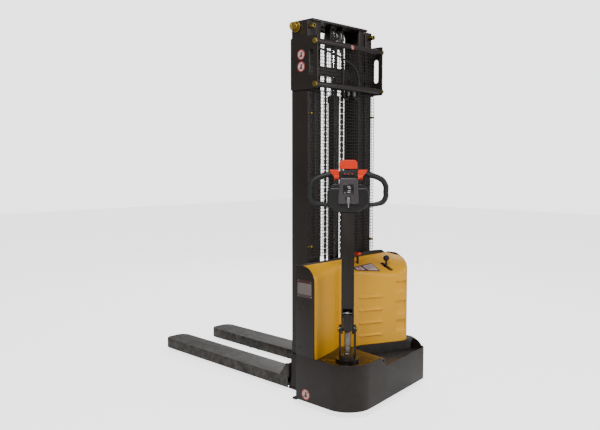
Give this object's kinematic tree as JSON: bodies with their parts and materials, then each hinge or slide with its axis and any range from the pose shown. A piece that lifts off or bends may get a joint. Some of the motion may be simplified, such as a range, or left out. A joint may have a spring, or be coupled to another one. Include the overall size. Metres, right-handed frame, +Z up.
{
  "type": "electric walkie stacker",
  "caption": "Walk-behind electric stacker with a two-stage lift mast, forks over load legs, yellow drive cover and a turned tiller.",
  "frame": {"origin": "on the floor under the middle of the truck's overall box", "axes": "+Z up, +Y along the forks away from the operator, +X to the right seen from the tiller"},
  "size_m": [0.7855, 1.7844, 2.053],
  "materials": {
    "chassis_black": "semi-gloss powder coat, worn along its edges",
    "deck_gloss": "high-gloss black paint",
    "cover_yellow": "moulded, semi-gloss",
    "dash_label": "laminated panel",
    "battery_case": "moulded case",
    "motor_grey": "cast and machined",
    "mast_black": "semi-gloss paint on rolled steel",
    "fork_paint": "satin paint, rubbed on the top face",
    "bright_steel": "ground",
    "chromed_rod": "polished",
    "zinc_yellow": "yellow zinc plating",
    "guard_wire": "dark wire",
    "hose_rubber": "smooth",
    "plate_grey": "printed plate",
    "pad_plastic": "natural nylon",
    "chain_steel": "oiled",
    "drive_polyurethane": "cast polyurethane",
    "roller_nylon": "cast",
    "tiller_black": "satin paint",
    "head_plastic": "fine grain",
    "panel_grey": "satin",
    "grip_rubber": "soft grain",
    "control_red": "moulded, semi-gloss"
  },
  "bodies": {
    "truck": {"chassis_skirt": "chassis_black", "deck_plates": "deck_gloss", "mast_foot": "chassis_black", "side_panels": "chassis_black", "rear_bulkhead": "chassis_black", "drive_cover": "cover_yellow", "dash_panel": "dash_label", "battery": "battery_case", "pump_unit": "motor_grey", "motor_controller": "motor_grey", "leg_left": "chassis_black", "leg_right": "chassis_black", "load_axles": "bright_steel", "outer_mast_left": "mast_black", "outer_mast_right": "mast_black", "outer_crossbeams": "mast_black", "head_plates": "mast_black", "tie_tubes": "mast_black", "zinc_fasteners": "zinc_yellow", "lifting_eyes": "zinc_yellow", "mesh_guard": "guard_wire", "cylinder_barrel": "mast_black", "hydraulic_hoses": "hose_rubber", "side_plates": "plate_grey", "wear_pads": "pad_plastic"},
    "inner_mast": {"inner_mast_left": "mast_black", "inner_mast_right": "mast_black", "inner_crossbeams": "mast_black", "cylinder_rod": "chromed_rod", "sheave_bracket": "mast_black", "lift_chains": "chain_steel"},
    "inner_roller_pair": {"inner_rollers": "bright_steel"},
    "chain_wheels": {"chain_sheaves": "bright_steel"},
    "carriage": {"carriage_frame": "mast_black", "fork_left": "fork_paint", "fork_right": "fork_paint"},
    "carriage_roller_pair_low": {"carriage_rollers_low": "bright_steel"},
    "carriage_roller_pair_high": {"carriage_rollers_high": "bright_steel"},
    "steering": {"drive_yoke": "motor_grey", "tiller_base": "tiller_black"},
    "drive_wheel": {"drive_hub": "motor_grey", "drive_tyre": "drive_polyurethane"},
    "caster_swivel": {"caster_fork": "bright_steel"},
    "caster_roll": {"caster_wheel": "roller_nylon"},
    "load_wheel_left_rear": {"load_roller_left_rear": "roller_nylon"},
    "load_wheel_left_front": {"load_roller_left_front": "roller_nylon"},
    "load_wheel_right_rear": {"load_roller_right_rear": "roller_nylon"},
    "load_wheel_right_front": {"load_roller_right_front": "roller_nylon"},
    "tiller": {"tiller_arm": "tiller_black", "control_head": "head_plastic", "head_panel": "panel_grey", "hand_grips": "grip_rubber"},
    "spring_body": {"gas_spring_tube": "bright_steel"},
    "spring_plunger": {"gas_spring_rod": "chromed_rod"},
    "belly_button": {"reverse_button": "control_red"},
    "throttle_wings": {"throttle": "control_red"},
    "lift_switch": {"lift_rocker": "control_red"},
    "key": {"ignition_key": "bright_steel"},
    "lowering_lever": {"valve_lever": "head_plastic"},
    "stop_knob": {"emergency_stop": "control_red"}
  },
  "joints": [
    {"name": "mast_lift", "type": "slide", "parent": "truck", "child": "inner_mast", "axis": [0, 0, 1], "range_m": [0, 1.45], "deforming": ["lift_chains"]},
    {"name": "carriage_lift", "type": "slide", "parent": "inner_mast", "child": "carriage", "axis": [0, 0, 1], "range_m": [0, 1.45]},
    {"name": "chain_wheel_spin", "type": "hinge", "parent": "inner_mast", "child": "chain_wheels", "pos_m": [0, -0.419, 1.985], "axis": [1, 0, 0], "continuous": true},
    {"name": "inner_roller_spin", "type": "hinge", "parent": "inner_mast", "child": "inner_roller_pair", "pos_m": [0, -0.413, 0.115], "axis": [1, 0, 0], "continuous": true},
    {"name": "carriage_roller_low_spin", "type": "hinge", "parent": "carriage", "child": "carriage_roller_pair_low", "pos_m": [0, -0.413, 0.17], "axis": [1, 0, 0], "continuous": true},
    {"name": "carriage_roller_high_spin", "type": "hinge", "parent": "carriage", "child": "carriage_roller_pair_high", "pos_m": [0, -0.413, 0.47], "axis": [1, 0, 0], "continuous": true},
    {"name": "steer", "type": "hinge", "parent": "truck", "child": "steering", "pos_m": [-0.262, -0.753, 0.264], "axis": [0, 0, 1], "range_deg": [-27, 123]},
    {"name": "drive_spin", "type": "hinge", "parent": "steering", "child": "drive_wheel", "pos_m": [-0.262, -0.753, 0.105], "axis": [0.6691, -0.7431, 0], "continuous": true},
    {"name": "caster_turn", "type": "hinge", "parent": "truck", "child": "caster_swivel", "pos_m": [0.262, -0.694, 0.18], "axis": [0, 0, 1], "continuous": true},
    {"name": "caster_spin", "type": "hinge", "parent": "caster_swivel", "child": "caster_roll", "pos_m": [0.262, -0.724, 0.065], "axis": [1, 0, 0], "continuous": true},
    {"name": "load_roller_left_rear_spin", "type": "hinge", "parent": "truck", "child": "load_wheel_left_rear", "pos_m": [-0.198, 0.415, 0.037], "axis": [1, 0, 0], "continuous": true},
    {"name": "load_roller_left_front_spin", "type": "hinge", "parent": "truck", "child": "load_wheel_left_front", "pos_m": [-0.198, 0.499, 0.037], "axis": [1, 0, 0], "continuous": true},
    {"name": "load_roller_right_rear_spin", "type": "hinge", "parent": "truck", "child": "load_wheel_right_rear", "pos_m": [0.198, 0.415, 0.037], "axis": [1, 0, 0], "continuous": true},
    {"name": "load_roller_right_front_spin", "type": "hinge", "parent": "truck", "child": "load_wheel_right_front", "pos_m": [0.198, 0.499, 0.037], "axis": [1, 0, 0], "continuous": true},
    {"name": "tiller_tilt", "type": "hinge", "parent": "steering", "child": "tiller", "pos_m": [-0.262, -0.753, 0.43], "axis": [0.6691, -0.7431, 0], "range_deg": [0, 80], "stiffness_Nm_per_rad": 60, "springref_deg": -34.38},
    {"name": "spring_swing", "type": "hinge", "parent": "steering", "child": "spring_body", "pos_m": [-0.28429, -0.77307, 0.31], "axis": [0.6691, -0.7431, 0], "range_deg": [0, 31.05]},
    {"name": "spring_stroke", "type": "slide", "parent": "spring_body", "child": "spring_plunger", "axis": [0, 0, 1], "range_m": [-0.08629, 0]},
    {"name": "reverse_press", "type": "slide", "parent": "tiller", "child": "belly_button", "axis": [0, 0, -1], "range_m": [0, 0.005], "stiffness_N_per_m": 2000, "springref_m": -0.002},
    {"name": "throttle_turn", "type": "hinge", "parent": "tiller", "child": "throttle_wings", "pos_m": [-0.27984, -0.76906, 1.215], "axis": [0.6691, -0.7431, 0], "range_deg": [-25, 25], "stiffness_Nm_per_rad": 0.8},
    {"name": "lift_rocker_tilt", "type": "hinge", "parent": "tiller", "child": "lift_switch", "pos_m": [-0.28652, -0.77508, 1.231], "axis": [0, 0, 1], "range_deg": [-6, 6], "stiffness_Nm_per_rad": 1},
    {"name": "key_turn", "type": "hinge", "parent": "tiller", "child": "key", "pos_m": [-0.28429, -0.77307, 1.107], "axis": [0.7431, 0.6691, 0], "range_deg": [0, 90]},
    {"name": "valve_lever_tilt", "type": "hinge", "parent": "truck", "child": "lowering_lever", "pos_m": [0.22, -0.632, 0.62], "axis": [1, 0, 0], "range_deg": [-8, 14], "stiffness_Nm_per_rad": 6},
    {"name": "emergency_stop_press", "type": "slide", "parent": "truck", "child": "stop_knob", "axis": [0, 0, -1], "range_m": [0, 0.005]}
  ],
  "couplings": [
    {"joint": "carriage_lift", "follows": "mast_lift", "ratio": 1},
    {"joint": "chain_wheel_spin", "follows": "mast_lift", "rad_per_m": 27.778},
    {"joint": "spring_swing", "follows": "tiller_tilt", "ratio": 0.388},
    {"joint": "spring_stroke", "follows": "tiller_tilt", "m_per_rad": -0.061727}
  ]
}
